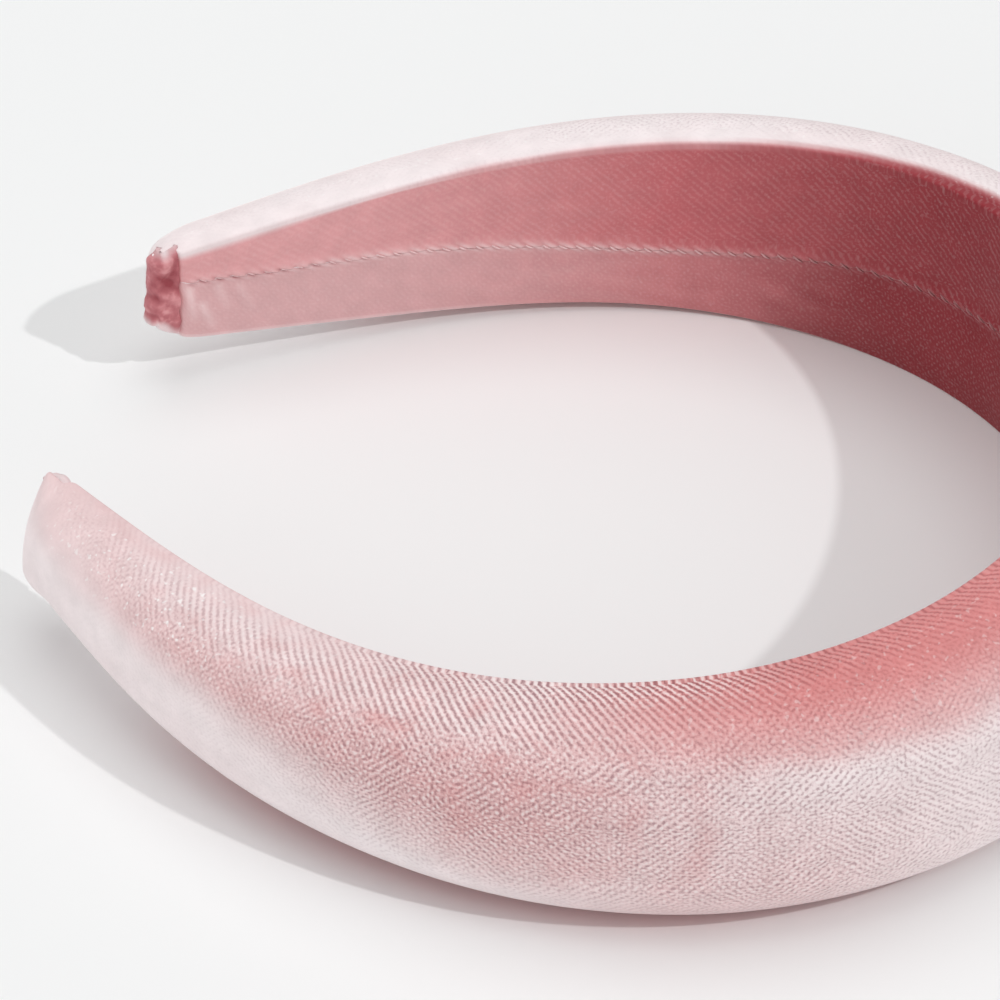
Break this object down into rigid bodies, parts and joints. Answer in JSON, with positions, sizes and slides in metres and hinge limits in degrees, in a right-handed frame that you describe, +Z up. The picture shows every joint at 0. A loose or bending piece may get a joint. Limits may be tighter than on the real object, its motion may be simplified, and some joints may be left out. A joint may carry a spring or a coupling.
{
  "type": "padded headband",
  "caption": "Padded velvet headband: a wide cushioned crown tapers to two slim tips, with the cover sewn shut along the inner face.",
  "frame": {"origin": "middle of the part's box, on the surface that it lies on", "axes": "+X from the open end towards the crown, +Y across the band towards the far arm, +Z up from the surface, along the band's width"},
  "size_m": [0.1658, 0.1556, 0.0417],
  "materials": {
    "velvet_cover": "dusty pink velvet with fine slanting ribs",
    "velvet_inside": "the same velvet seen against its pile, rose",
    "velvet_end": "gathered velvet, deep rose in its pleats"
  },
  "bodies": {
    "root": {"padded_band": "velvet_cover", "lap_upper": "velvet_inside", "lap_lower": "velvet_inside", "tuck_near": "velvet_end", "tuck_far": "velvet_end"}
  },
  "joints": []
}
